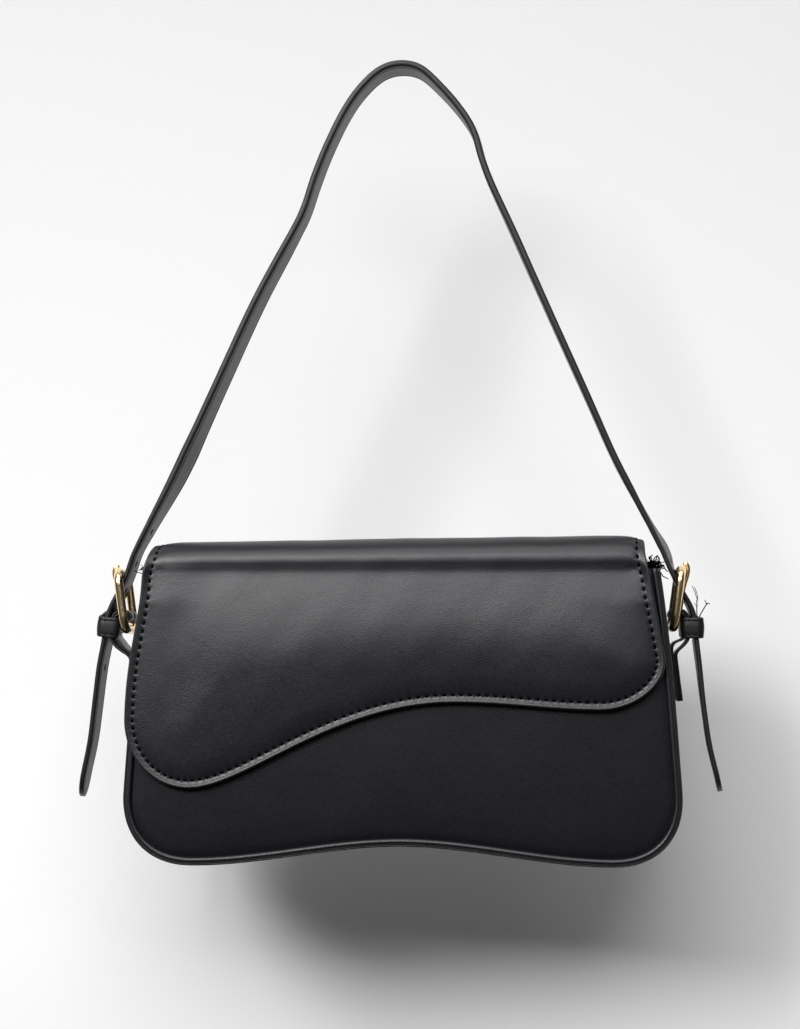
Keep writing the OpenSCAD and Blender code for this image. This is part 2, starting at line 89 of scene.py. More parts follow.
def smooth(points, n=4):
    p = [np.array(q, float) for q in points]
    out = []
    for i in range(len(p) - 1):
        a = p[max(i - 1, 0)]
        b = p[i]
        c = p[i + 1]
        d = p[min(i + 2, len(p) - 1)]
        for j in range(n):
            t = j / n
            out.append(0.5 * (2 * b + (c - a) * t + (2 * a - 5 * b + 4 * c - d) * t * t
                              + (3 * b - a - 3 * c + d) * t ** 3))
    out.append(p[-1])
    return np.array(out)


def lengths(path):
    return np.concatenate([[0], np.cumsum(np.linalg.norm(np.diff(path, axis=0), axis=1))])


def resample(path, step):
    s = lengths(path)
    n = max(2, int(round(s[-1] / step)) + 1)
    t = np.linspace(0, s[-1], n)
    return np.stack([np.interp(t, s, path[:, k]) for k in range(path.shape[1])], axis=1)


def headings(path):
    d = np.gradient(path, axis=0)
    return d / np.linalg.norm(d, axis=1)[:, None]


def left_of(d):
    return np.stack([-d[:, 1], d[:, 0]], axis=1)


def inward(edge):
    """Directions square to an edge line, towards the area that it bounds."""
    n = left_of(headings(edge))
    return n if (edge.mean(axis=0) - edge[0]) @ n[0] >= 0 else -n


def in_space(points, y=0.0):
    """Points or directions given across and up, placed in space at the depth y."""
    return np.stack([points[:, 0], np.broadcast_to(y, len(points)), points[:, 1]], axis=1)


def arc(x, y, rx, ry, a, b, n):
    """Points on an ellipse from the angle a to the angle b, in degrees."""
    turn = np.radians(np.linspace(a, b, n))
    return list(zip(x + rx * np.cos(turn), y + ry * np.sin(turn)))


def ease(t):
    t = np.clip(t, 0, 1)
    return t * t * (3 - 2 * t)


def swell(t):
    """Rises from 0 to 1, steeply at first and level at the end."""
    return np.sin(np.clip(t, 0, 1) * math.pi / 2)


def round_off(d, r):
    """Drop of a rounded edge: 1 at the edge itself, 0 from the distance r on."""
    return 1 - np.sqrt(1 - (1 - np.clip(d / r, 0, 1)) ** 2)


def ripple(x, z, seed):
    """Slow uneven waves between about -1 and 1."""
    return (np.sin(x * 0.051 + z * 0.023 + seed) + 0.6 * np.sin(x * 0.113 - z * 0.087 + 2.1 * seed + 1.3)
            + 0.35 * np.sin(x * 0.23 + z * 0.19 + 3.7 * seed)) / 1.95


# Meshes
def shade(obj, smooth_faces=True):
    obj.data.polygons.foreach_set("use_smooth", [smooth_faces] * len(obj.data.polygons))
    obj.data.update()
    return obj


def make(name, verts, faces, materials, body=None, kinds=None):
    """An object from points in millimetres. kinds gives each face the number of its material."""
    mesh = bpy.data.meshes.new(name)
    points = [tuple(float(c) * MM for c in v) for v in verts]
    mesh.from_pydata(points, [], [tuple(int(i) for i in f) for f in faces])
    mesh.validate()
    obj = bpy.data.objects.new(name, mesh)
    bpy.context.scene.collection.objects.link(obj)
    for m in materials:
        mesh.materials.append(m)
    if kinds is not None and len(kinds) == len(mesh.polygons):
        mesh.polygons.foreach_set("material_index", np.array(kinds, np.int32))
    if body:
        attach(obj, body)
    return shade(obj)


def tidy_mesh(obj, merge=0.00002):
    """Joins points that meet and turns all faces outwards."""
    bm = bmesh.new()
    bm.from_mesh(obj.data)
    bmesh.ops.remove_doubles(bm, verts=bm.verts, dist=merge)
    bmesh.ops.dissolve_degenerate(bm, edges=bm.edges, dist=1e-7)
    bmesh.ops.recalc_face_normals(bm, faces=bm.faces)
    bm.to_mesh(obj.data)
    bm.free()
    return shade(obj)


def ring_faces(rows, n, looped=False):
    """Faces over rows of n points, closed round each row, and from the last row to the first if looped."""
    faces = []
    for r in range(rows if looped else rows - 1):
        a = r * n
        b = (r + 1) % rows * n
        faces += [(a + k, a + (k + 1) % n, b + (k + 1) % n, b + k) for k in range(n)]
    return faces


def capped_faces(rows, n):
    last = (rows - 1) * n
    return ring_faces(rows, n) + [tuple(range(n))[::-1], tuple(range(last, last + n))]


def sweep(path, side, up, profile):
    """A closed profile carried along a path, with flat ends. profile(i) gives points sideways and up."""
    verts = []
    for i in range(len(path)):
        verts += [path[i] + side[i] * w + up[i] * h for w, h in profile(i)]
    return np.array(verts), capped_faces(len(path), len(verts) // len(path))


def apply_modifier(obj, mod):
    bpy.context.view_layer.objects.active = obj
    with bpy.context.temp_override(object=obj, active_object=obj):
        bpy.ops.object.modifier_apply(modifier=mod.name)


def cut(obj, cutters):
    """Takes the cutters out of a piece and removes them."""
    for c in cutters:
        mod = obj.modifiers.new("cut", "BOOLEAN")
        mod.operation = "DIFFERENCE"
        mod.solver = "EXACT"
        mod.object = c
        apply_modifier(obj, mod)
        mesh = c.data
        bpy.data.objects.remove(c)
        bpy.data.meshes.remove(mesh)


def tube(path, radius, sides):
    """Round tube round a 3-D path; radius is a number or one for each point."""
    path = np.array(path, float)
    d = headings(path)
    r = np.broadcast_to(radius, len(path))
    ref = xyz(0, 1, 0) if abs(d[0][1]) < 0.9 else xyz(1, 0, 0)
    verts = []
    u = np.cross(d[0], ref)
    u /= np.linalg.norm(u)
    for i in range(len(path)):
        u = u - d[i] * np.dot(u, d[i])
        u /= np.linalg.norm(u)
        v = np.cross(d[i], u)
        for k in range(sides):
            a = 2 * math.pi * k / sides
            verts.append(path[i] + r[i] * (u * math.cos(a) + v * math.sin(a)))
    return np.array(verts), capped_faces(len(path), sides)


def join(parts):
    """One list of points and faces from several."""
    faces = []
    count = 0
    for v, f in parts:
        faces += [tuple(i + count for i in q) for q in f]
        count += len(v)
    return np.concatenate([v for v, f in parts]), faces


def stitch(p, along, up, length, r, lift):
    """A short length of thread lying in the surface, lowest at both ends."""
    along = along / np.linalg.norm(along)
    up = up - along * np.dot(up, along)
    up = up / np.linalg.norm(up)
    t = np.linspace(-1, 1, 7)
    path = [p + along * (length / 2 * q) + up * (lift - 0.42 * q ** 4) for q in t]
    return tube(path, [r * (1 - 0.45 * q ** 4) for q in t], 6)


def stitches(name, places, body, length, r, lift):
    v, f = join([stitch(p, along, up, length, r, lift) for p, along, up in places])
    return make(name, v, f, [THREAD_AND_HOLE_SHADE], body)


# Materials
class Graph:
    """The nodes of a material or the world. An input takes a number, a colour or another node's output."""

    def __init__(self, owner):
        owner.use_nodes = True
        self.tree = owner.node_tree
        self.tree.nodes.clear()

    def add(self, kind, inputs, operation=None):
        node = self.tree.nodes.new("ShaderNode" + kind)
        if operation:
            node.operation = operation
        for key, value in inputs.items():
            if isinstance(value, bpy.types.NodeSocket):
                self.tree.links.new(value, node.inputs[key])
            else:
                node.inputs[key].default_value = value
        return node

    def calc(self, operation, *values):
        return self.add("Math", dict(enumerate(values)), operation).outputs[0]

    def noise(self, scale, detail, rough):
        inputs = {"Vector": self.coord, "Scale": scale, "Detail": detail, "Roughness": rough}
        return self.add("TexNoise", inputs).outputs["Fac"]

    def ramp(self, value, low, high, dark, light):
        """Colour that goes from dark to light as the value goes from low to high."""
        node = self.add("ValToRGB", {"Fac": value})
        first, last = node.color_ramp.elements
        first.position = low
        first.color = (*dark, 1)
        last.position = high
        last.color = (*light, 1)
        return node.outputs["Color"]

    def rescale(self, value, low, high):
        return self.add("MapRange", {"Value": value, "To Min": low, "To Max": high}).outputs["Result"]

    def bump(self, height, strength, distance, under=None):
        inputs = {"Height": height, "Strength": strength, "Distance": distance}
        if under is not None:
            inputs["Normal"] = under
        return self.add("Bump", inputs).outputs["Normal"]

    def surface(self, inputs):
        shader = self.add("BsdfPrincipled", inputs)
        self.add("OutputMaterial", {"Surface": shader.outputs["BSDF"]})


def new_material(name):
    mat = bpy.data.materials.new(name)
    g = Graph(mat)
    g.coord = g.add("TexCoord", {}).outputs["Object"]
    return mat, g


def leather(name, dark, light, rough, grain=1.0, gloss=0.5):
    """Smooth coated leather: fine pebble grain, pores, faint cloudiness and slightly uneven gloss."""
    mat, g = new_material(name)
    cell = g.add("TexVoronoi", {"Vector": g.coord, "Scale": 1150})
    cell.feature = "DISTANCE_TO_EDGE"
    pebble = g.bump(cell.outputs["Distance"], 0.30 * grain, 0.0003)
    pores = g.bump(g.noise(2600, 3, 0.6), 0.12 * grain, 0.0001, pebble)
    g.surface({
        "Base Color": g.ramp(g.noise(26, 3, 0.55), 0.3, 0.72, dark, light),
        "Roughness": g.rescale(g.noise(420, 4, 0.6), rough - 0.05, rough + 0.07),
        "Normal": g.bump(g.noise(95, 3, 0.5), 0.10 * grain, 0.0012, pores),
        "Specular IOR Level": gloss,
    })
    return mat


def cloth(name, dark, light, threads, rough=0.85, depth=0.0003, sheen=0.25, gloss=0.25):
    """Plain weave: two sets of threads that pass over and under, with uneven dye."""
    mat, g = new_material(name)
    waves = []
    for axis in ("X", "Z"):
        wave = g.add("TexWave", {"Vector": g.coord, "Scale": threads, "Distortion": 0.6, "Detail": 2})
        wave.bands_direction = axis
        waves.append(wave.outputs["Fac"])
    weave = g.rescale(g.calc("ADD", *waves), 0, 0.5)
    cloud = g.noise(60, 4, 0.6)
    g.surface({
        "Base Color": g.ramp(g.calc("MULTIPLY_ADD", weave, 0.45, cloud), 0.3, 0.8, dark, light),
        "Roughness": g.rescale(cloud, rough - 0.06, rough + 0.06),
        "Normal": g.bump(weave, 0.7, depth),
        "Sheen Weight": sheen,
        "Sheen Roughness": 0.4,
        "Specular IOR Level": gloss,
    })
    return mat


def metal(name, dark, light, rough):
    """Plated metal with faint polishing marks and a slightly uneven tone."""
    mat, g = new_material(name)
    fine = g.noise(900, 5, 0.7)
    g.surface({
        "Base Color": g.ramp(g.noise(160, 4, 0.6), 0.3, 0.7, dark, light),
        "Roughness": g.rescale(fine, rough - 0.04, rough + 0.06),
        "Normal": g.bump(fine, 0.05, 0.00008),
        "Metallic": 1.0,
    })
    return mat


LEATHER = leather("black_leather", (0.0032, 0.0031, 0.0052), (0.0053, 0.0051, 0.0077), 0.38)
# A darker copy of black_leather for the panels: its darker colour is painted shade.
PANEL_LEATHER_SHADED = leather("panel_leather", (0.0025, 0.0024, 0.0041), (0.0040, 0.0038, 0.0060), 0.40, 0.7, 0.29)
STRAP_LEATHER = leather("strap_leather", (0.0075, 0.0075, 0.008), (0.0115, 0.0115, 0.012), 0.38, 0.9, 0.31)
EDGE = leather("edge_paint", (0.005, 0.005, 0.0055), (0.008, 0.008, 0.0085), 0.36, 0.35)
LINING = cloth("lining_cloth", (0.015, 0.015, 0.016), (0.025, 0.025, 0.027), 420)
TAPE = cloth("zip_tape_cloth", (0.008, 0.008, 0.009), (0.020, 0.020, 0.022), 300, 0.8, 0.0004)
# Nearly black thread: partly the thread's own black, partly painted shade of the deep stitch holes.
THREAD_AND_HOLE_SHADE = cloth("thread", (0.0004, 0.0004, 0.0005), (0.0014, 0.0014, 0.0016), 1500, 0.9, 0.0001, 0.0, 0.02)
GOLD = metal("gold_plate", (0.88, 0.67, 0.36), (0.97, 0.80, 0.50), 0.2)
BRASS = metal("zip_brass", (0.62, 0.44, 0.20), (0.80, 0.60, 0.30), 0.24)
SNAP = metal("snap_brass", (0.36, 0.26, 0.14), (0.50, 0.37, 0.21), 0.36)

# Camera, at the photograph's place
eye = bpy.data.cameras.new("camera")
eye.lens = 80
eye.sensor_fit = "VERTICAL"
eye.sensor_height = 36
eye.clip_start = 0.05
eye.clip_end = 20
camera = bpy.data.objects.new("camera", eye)
bpy.context.scene.collection.objects.link(camera)
camera.location = (0.0665, -1.093, -0.29045)
camera.rotation_euler = (math.radians(90 + 3.8903), 0, math.radians(3.4955))
bpy.context.scene.camera = camera


# The outline of the body
def body_outline():
    right = TOP_W / 2
    wide = MAX_W / 2
    half = np.concatenate([
        bend((right, MOUTH), (right + 5, MOUTH - 32), (wide - 2.2, MOUTH - 72), (wide, MOUTH - 105.7), 40),
        bend((wide, MOUTH - 105.7), (wide + 0.4, MOUTH - 124.7), (119, LOW), (98, LOW), 26),
        bend((98, LOW), (98 * 0.67, LOW), (98 * 0.33, LOW + RISE), (0, LOW + RISE), 40),
        [[0, LOW + RISE]],
    ])
    left = half[::-1][1:] * np.array([-1, 1])
    return resample(np.concatenate([half, left]), 1.6)


U = body_outline()
U_IN = -left_of(headings(U))
U_IN[0] = (-1, 0)
U_IN[-1] = (1, 0)


def u_inset(d):
    p = U + U_IN * d + np.array([BODY_X, 0])
    p[0, 1] = MOUTH
    p[-1, 1] = MOUTH
    return p


def nearest(points, line):
    """Distance from each point to a polyline, and how far along the polyline its nearest place is."""
    a = line[:-1]
    b = line[1:]
    ab = b - a
    run = np.linalg.norm(ab, axis=1)
    start = np.concatenate([[0], np.cumsum(run)])
    best = np.full(len(points), 1e9)
    along = np.zeros(len(points))
    for i in range(len(a)):
        t = np.clip(((points - a[i]) @ ab[i]) / max(ab[i] @ ab[i], 1e-12), 0, 1)
        gap = points - a[i] - t[:, None] * ab[i]
        d = np.hypot(gap[:, 0], gap[:, 1])
        closer = d < best
        best[closer] = d[closer]
        along[closer] = start[i] + t[closer] * run[i]
    return best, along


def distance(points, line):
    return nearest(points, line)[0]


def patch(edge, insets, step, close_rows=()):
    """Triangles over the area between an open edge line and the level line that joins its ends.

    Rows of points follow the edge at the given insets, and further rows follow the level line."""
    n = inward(edge)
    n[0] = (math.copysign(1, n[0][0]), 0)
    n[-1] = (math.copysign(1, n[-1][0]), 0)
    level = edge[0][1]
    toward = 1 if edge.mean(axis=0)[1] > level else -1
    inner = []
    for gap in insets[1:]:
        row = (edge + n * gap)[1:-1]
        inner.append(row[(nearest(row, edge)[0] > gap - 0.12) & ((row[:, 1] - level) * toward > 0.3)])
    x0, x1 = sorted((edge[0][0], edge[-1][0]))
    last = insets[-1]
    xs = [x0 + g for g in insets[1:]]
    xs += list(np.linspace(x0 + last, x1 - last, int((x1 - x0 - 2 * last) / step))[1:-1])
    xs += [x1 - g for g in insets[1:]][::-1]
    close = np.array([[x, level] for x in xs])
    if edge[-1][0] > edge[0][0]:
        close = close[::-1]
    low = edge.min(axis=0)
    high = edge.max(axis=0)
    grid = []
    for k, y in enumerate(np.arange(low[1], high[1], step * 0.866)):
        grid += [(x, y) for x in np.arange(low[0] + (k % 2) * step / 2, high[0], step)]
    grid = np.array(grid)
    grid = grid[(grid[:, 1] - level) * toward > max((0, *close_rows)) + step * 0.5]
    for gap in close_rows:
        grid = np.vstack([grid, [[x, level + toward * gap] for x in xs[len(insets):-len(insets)]]])
    boundary = np.vstack([edge, close])
    grid = grid[inside(grid, boundary)]
    grid = grid[nearest(grid, edge)[0] > last + step * 0.55]
    points = np.vstack([boundary] + inner + [grid])
    count = len(boundary)
    sides = [(i, (i + 1) % count) for i in range(count)]
    out = delaunay_2d_cdt([Vector(q) for q in points.tolist()], sides, [tuple(range(count))], 1, 1e-4)
    flat = np.array([tuple(q) for q in out[0]])
    open_side = {i for i, q in enumerate(flat) if abs(q[1] - level) < 1e-3}
    return flat, np.array([tuple(f) for f in out[2]]), open_side


def inside(points, ring):
    x = points[:, 0]
    y = points[:, 1]
    hit = np.zeros(len(points), bool)
    for (x0, y0), (x1, y1) in zip(ring, np.roll(ring, -1, axis=0)):
        if y0 == y1:
            continue
        cross = ((y0 > y) != (y1 > y)) & (x < (x1 - x0) * (y - y0) / (y1 - y0) + x0)
        hit ^= cross
    return hit


def thick(name, top, low, sheet, materials, body=None, kinds=(0, 0, 0), open_side=()):
    """A solid between two copies of a sheet of faces, with walls along its free edges."""
    sheet = np.array(sheet)
    a, b, c = top[sheet[:, 0]], top[sheet[:, 1]], top[sheet[:, 2]]
    turn = (np.cross(b - a, c - a) * (a - low[sheet[:, 0]])).sum(axis=1)
    if np.median(turn) < 0:
        sheet = sheet[:, ::-1]
    n = len(top)
    faces = [tuple(t) for t in sheet] + [tuple(k + n for k in t[::-1]) for t in sheet]
    kind = [kinds[0]] * len(sheet) + [kinds[1]] * len(sheet)
    directed = set()
    for t in sheet.tolist():
        directed.update(zip(t, t[1:] + t[:1]))
    for p, q in directed:
        if (q, p) in directed or (p in open_side and q in open_side):
            continue
        faces.append((q, p, p + n, q + n))
        kind.append(kinds[2])
    return make(name, np.concatenate([top, low]), faces, materials, body, kind)


def shell(name, cut_out, outer, inner, materials, body=None, kinds=(0, 0, 0), closed=False):
    """A thick sheet over a flat patch, with two functions that place its outer and inner faces."""
    flat, tris, open_side = cut_out
    skip = () if closed else open_side
    return thick(name, outer(flat), inner(flat), tris, materials, body, kinds, skip)


# The flap. Its flat cut is x across and s down from the middle of the top.
FLAP_X0 = -116.5
FLAP_X1 = 115.5
R_FRONT = TOP - CREASE
TOP_FLAT = 17.3
S_CREASE = TOP_FLAT + R_FRONT * math.pi / 2
MID_Y = FLAP_Y + R_FRONT + TOP_FLAT
CREASE_DEPTH = 2.3
PITCH = 3.9
SEW = 3.6
RIM = 0.9


def over_top(pts, off, flat, r, way):
    """Places points of the flat cut in space, off away from the outer face: along the top for the
    length flat, round a roll of radius r and then down, at the front (way -1) or the back (way 1)."""
    s = pts[:, 1]
    phi = np.clip((s - flat) / r, 0, math.pi / 2)
    down = np.maximum(s - flat - r * math.pi / 2, 0)
    y = MID_Y + way * (np.minimum(s, flat) + (r + off) * np.sin(phi))
    return np.stack([pts[:, 0], y, TOP - r + (r + off) * np.cos(phi) - down], axis=1)


def flap_outline():
    left = -127.4
    right = 124.3
    low = -345.7
    high = -305.9
    dip = -309.4
    line = np.concatenate([
        bend((FLAP_X0 + 1.2, CREASE + S_CREASE), (FLAP_X0 + 1.2, CREASE + 22), (FLAP_X0 + 0.2, CREASE + 13),
             (FLAP_X0 - 1.4, CREASE + 6), 30),
        bend((FLAP_X0 - 1.4, CREASE + 6), (FLAP_X0 - 2.4, CREASE + 2), (FLAP_X0 - 3.1, CREASE - 1),
             (FLAP_X0 - 3.3, CREASE - 5), 12),
        bend((FLAP_X0 - 3.3, CREASE - 5), (FLAP_X0 - 3.9, -266), (left + 0.4, -284), (left, -313.3), 30),
        bend((left, -313.3), (left, -331.3), (-114, low), (-97, low), 26),
        bend((-97, low), (-70, low), (-30, high + 0.4), (28, high), 50),
        bend((28, high), (52, high), (70, dip), (94, dip), 24),
        bend((94, dip), (110, dip), (right + 0.2, -298.3), (right, -285.8), 24),
        bend((right, -285.8), (122.4, -272), (120.0, -262), (118.0, -250), 16),
        bend((118.0, -250), (117.3, -246), (FLAP_X1 + 0.4, CREASE + 4), (FLAP_X1, CREASE + 9), 12),
        [[FLAP_X1, z] for z in np.linspace(CREASE + 10, CREASE + S_CREASE, 24)],
    ])
    line[:, 1] = S_CREASE + (CREASE - line[:, 1])
    return resample(line, PITCH / 4)


def even_pitch(edge):
    """The stitch spacing nearest to PITCH that fits a whole number of times."""
    total = lengths(edge)[-1]
    return total / round(total / PITCH)


FLAP_EDGE = flap_outline()
PITCH_FRONT = even_pitch(FLAP_EDGE)


def sewn_edge(d, along, pitch):
    """Height of a turned and stitched edge: round rim, sloping band and a pit at each stitch."""
    rim = -0.95 * round_off(d, RIM)
    band = 0.5 * (1 - ease((d - 0.6) / 3.0)) - 0.07 * np.exp(-((d - 1.6) / 0.22) ** 2)
    beat = 0.5 - 0.5 * np.cos(2 * math.pi * along / pitch)
    pit = -0.38 * beat ** 1.2 * np.exp(-((d - SEW - 0.3) / 0.78) ** 2)
    finger = 0.06 * (1 - beat) ** 2 * np.exp(-((d - SEW - 0.2) / 0.8) ** 2)
    return rim + band + pit + finger


def top_sag(x):
    """The soft top lies lower at its left end than at its right one, and drops at both corners."""
    return 0.0125 * x - 0.15 - 1.1 * (1 - swell((x - FLAP_X0) / 8)) - 2.0 * (1 - swell((FLAP_X1 - x) / 7))


def soft_top(x, d, above):
    return (0.7 * swell(d / 30) + top_sag(x)) * ease(above / 20)


def uneven(x, s, d):
    return (0.20 * ripple(x, s, 1.0) + 0.05 * ripple(x * 3.1, s * 2.3, 4.0)) * swell(d / 20)


def flap_outer(pts):
    x, s = pts.T
    d, along = nearest(pts, FLAP_EDGE)
    below = s - S_CREASE
    roll_in = np.exp(-(np.minimum(below, 0) / 5.0) ** 2) * (below <= 0)
    face = (1 - 2.1 * swell(below / 46)) * (below > 0)
    crease = (roll_in + np.where(face > 0, face, face * swell((d - 3.0) / 45))) * swell(d / 9)
    crease = crease * (0.72 + 0.28 * ease((x - FLAP_X0 - 3) / 30))
    height = sewn_edge(d, along, PITCH_FRONT) + 0.55 * swell((d - SEW - 0.4) / 9) - CREASE_DEPTH * crease
    return over_top(pts, height + soft_top(x, d, -below) + uneven(x, s, d), TOP_FLAT, R_FRONT, -1)


def flap_inner(pts):
    d = distance(pts, FLAP_EDGE)
    below = pts[:, 1] - S_CREASE
    valley = -0.9 * np.exp(-(below / 7) ** 2) * swell(d / 9)
    bulge = 1.2 * swell(below / 50) * swell((d - 3.0) / 50)
    sag = top_sag(pts[:, 0]) * ease(-below / 20)
    return over_top(pts, -FLAP_T + 0.5 * round_off(d, RIM) + valley + bulge + sag, TOP_FLAT, R_FRONT, -1)


def flap_shell(name, edge, outer, inner):
    cut_out = patch(edge, INSETS, 3.0)
    return shell(name, cut_out, outer, inner, [LEATHER, LINING, EDGE], None, (0, 1, 2))


INSETS = [0, 0.2, 0.5, 0.9, 1.25, 1.6, 1.95, 2.4, 2.8, 3.15, 3.5, 3.85, 4.2, 4.6, 5.2, 6.3, 7.8]
flap_front = flap_shell("flap_front_leather", FLAP_EDGE, flap_outer, flap_inner)

# The back half of the flap, from the middle of the top over the back and down to its seam
BACK_HINGE = -242.75
R_BACK = TOP - BACK_HINGE
SEAM_Y = 29.0
BACK_FLAT = (SEAM_Y - R_BACK) - MID_Y
S_BACK = BACK_FLAT + R_BACK * math.pi / 2
S_SEAM = S_BACK + 15.5
BACK_EDGE = resample(np.concatenate([
    [[FLAP_X0 + 1.2, s] for s in np.linspace(0, S_BACK - 5, 26)],
    [[-113.5, S_BACK + 2], [-113.5, S_SEAM - 4]],
    bend((-113.5, S_SEAM - 4), (-113.5, S_SEAM - 1.5), (-112, S_SEAM), (-109.5, S_SEAM), 6),
    bend((-109.5, S_SEAM), (-40, S_SEAM), (40, S_SEAM), (109, S_SEAM), 80),
    bend((109, S_SEAM), (111.5, S_SEAM), (113, S_SEAM - 1.5), (113, S_SEAM - 4), 6),
    [[113, S_BACK + 2]],
    [[FLAP_X1, s] for s in np.linspace(S_BACK - 5, 0, 26)],
]), PITCH / 4)
PITCH_BACK = even_pitch(BACK_EDGE)


def back_outer(pts):
    x, s = pts.T
    d, along = nearest(pts, BACK_EDGE)
    body = 0.55 * swell((d - SEW - 0.4) / 9) * ease((S_BACK + 2 - s) / 12)
    height = sewn_edge(d, along, PITCH_BACK) + soft_top(x, d, S_BACK - s) + body
    return over_top(pts, height + uneven(x, s, d) * ease((S_BACK + 4 - s) / 14), BACK_FLAT, R_BACK, 1)


def back_inner(pts):
    sag = top_sag(pts[:, 0]) * ease((S_BACK - pts[:, 1]) / 20)
    return over_top(pts, -FLAP_T + 0.12 + sag, BACK_FLAT, R_BACK, 1)


flap_back = flap_shell("flap_back_leather", BACK_EDGE, back_outer, back_inner)


def edge_stitches(name, edge, outer, pitch):
    """Stitches along an edge, one in each pit: black thread and painted shade of the hole."""
    s = lengths(edge)
    spots = np.arange(pitch / 2, s[-1], pitch)

    def mixed(a):
        return np.stack([np.interp(spots, s, a[:, 0]), np.interp(spots, s, a[:, 1])], axis=1)

    n = mixed(inward(edge))
    line = mixed(edge) + n * (SEW + 0.3)
    here = outer(line)
    ahead = outer(line + mixed(headings(edge)) * 0.5) - here
    aside = outer(line + n * 0.3) - here
    places = []
    for p, along, across in zip(here, ahead, aside):
        up = np.cross(along, across)
        outside = xyz(0, p[1], max(0, p[2] - (TOP - 16)) * 2)
        places.append((p, along, up if np.dot(up, outside) >= 0 else -up))
    # Thick and nearly black: partly the thread, partly painted shade of the deep stitch holes.
    return stitches(name, places, None, length=2.1, r=0.68, lift=0.0)


flap_thread = edge_stitches("flap_stitches", FLAP_EDGE, flap_outer, PITCH_FRONT)
back_thread = edge_stitches("flap_back_stitches", BACK_EDGE, back_outer, PITCH_BACK)

for piece in (flap_front, flap_thread):
    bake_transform(piece)
for piece in (flap_back, back_thread):
    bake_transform(piece)
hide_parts("flap_face", "flap_board", "flap_lining", "flap_top")
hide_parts("flap_seam")


# The padded front and back panels. The back one lies flat under the flap's seam.
SEAM_DROP = 15.2
SEAM_HALF = 116.0


def panel(name, side, crown):
    rim = u_inset(PANEL_INSET)
    cut_out = patch(rim, [0, 0.3, 0.7, 1.2, 2.0, 3.0, 4.2, 6.0], 3.2, (0.4, 1.0, 1.9, 3.2))

    def outer(pts):
        x, z = pts.T
        d = distance(pts, rim)
        rise = 0.45 * swell(d / 4) + 0.45 * swell(d / 15) + crown * swell(d / 48)
        rise = rise + 0.12 * ripple(x, z, 2.0 + side) * swell(d / 16) - 0.5 * round_off(MOUTH - z, 3)
        y = PANEL_Y - 0.9 + rise
        if side > 0:
            under_seam = (z > MOUTH - SEAM_DROP) & (np.abs(x) < SEAM_HALF)
            y = np.where(under_seam, np.minimum(y, PANEL_Y - 1.25), y)
        return in_space(pts, side * y)

    def inner(pts):
        return in_space(pts, side * (PANEL_Y - 1.9))

    obj = shell(name, cut_out, outer, inner, [PANEL_LEATHER_SHADED], "bag", closed=True)
    return obj


front_pad = panel("front_panel_leather", -1, 0.75)
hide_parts("front_panel")
back_pad = panel("back_panel_leather", 1, 0.25)
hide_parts("back_panel")


# Piping: a leather-covered cord between the panel and the gusset, with the gusset's turned edge outside it
def piping(side, word):
    path = in_space(u_inset(0.0))
    section = arc(2.55, 27.35, 1.42, 1.42, -50, 172, 15) + [(1.02, 26.95)]
    section += arc(0.62, 26.75, 0.62, 0.75, 60, 200, 8) + [(0.25, 25.2), (3.4, 25.2)]
    v, f = sweep(path, in_space(U_IN), np.tile(xyz(0, side, 0), (len(path), 1)), lambda i: section)
    obj = tidy_mesh(make("piping_" + word + "_cord", v, f, [LEATHER], "bag"))
    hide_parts("piping_" + word)


piping(-1, "front")
piping(1, "back")

# Gusset: one strip down a side, under the bottom and up the other side
GUSSET_HALF = 25.4
U_RUN = lengths(U)


def gusset_profile(i):
    puff = 0.75 + 0.25 * math.sin(U_RUN[i] / U_RUN[-1] * 57)
    out = []
    for y in np.linspace(-GUSSET_HALF, GUSSET_HALF, 23):
        edge = GUSSET_HALF - abs(y)
        h = -0.55 + 0.55 * float(swell(edge / 4)) + 0.5 * puff * float(swell(edge / 20))
        out.append((y, h + 0.1 * math.sin(y * 0.3 + i * 0.11)))
    return out + [(y, -1.6) for y in np.linspace(GUSSET_HALF, -GUSSET_HALF, 9)]


path = in_space(u_inset(0.75))
v, f = sweep(path, np.tile(xyz(0, 1, 0), (len(path), 1)), -in_space(U_IN), gusset_profile)
gusset = tidy_mesh(make("gusset_leather", v, f, [LEATHER], "bag"))
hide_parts("gusset")

# Lining: a sewn bag of thin cloth inside, open at the mouth
LINING_HALF = 24.6


def lining():
    rim = u_inset(PANEL_INSET)
    ys = np.linspace(-LINING_HALF, LINING_HALF, 17)
    n = len(ys)
    strip = []
    for i in range(len(rim)):
        for y in ys:
            k = 0.35 * math.sin(i * 0.35 + y * 0.21) * float(swell((LINING_HALF - abs(y)) / 6))
            x, z = rim[i] + U_IN[i] * k
            strip.append((x, y, z))
    corners = [i * n + k for i in range(len(rim) - 1) for k in range(n - 1)]
    parts = [(np.array(strip), [(a, a + 1, a + n + 1, a + n) for a in corners])]
    flat, tris = patch(rim, [0, 2.0], 4.0)[:2]
    for side in (-1, 1):
        d = distance(flat, rim)
        near = ease((flat[:, 1] - MOUTH + 34) / 10)
        wave = (0.3 * ripple(flat[:, 0] * 1.6, flat[:, 1] * 0.7, side) - 0.3) * swell(d / 14)
        y = side * (LINING_HALF + wave * (1 - near) + 0.45 * near * swell(d / 5))
        parts.append((in_space(flat, y), [tuple(t) for t in tris]))
    v, f = join(parts)
    obj = tidy_mesh(make("lining_cloth", v, f, [LINING]), 0.0001)
    skin = obj.modifiers.new("thick", "SOLIDIFY")
    skin.thickness = 0.0004
    skin.offset = -1
    apply_modifier(obj, skin)
    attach(obj, "bag")
    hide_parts("lining")


lining()

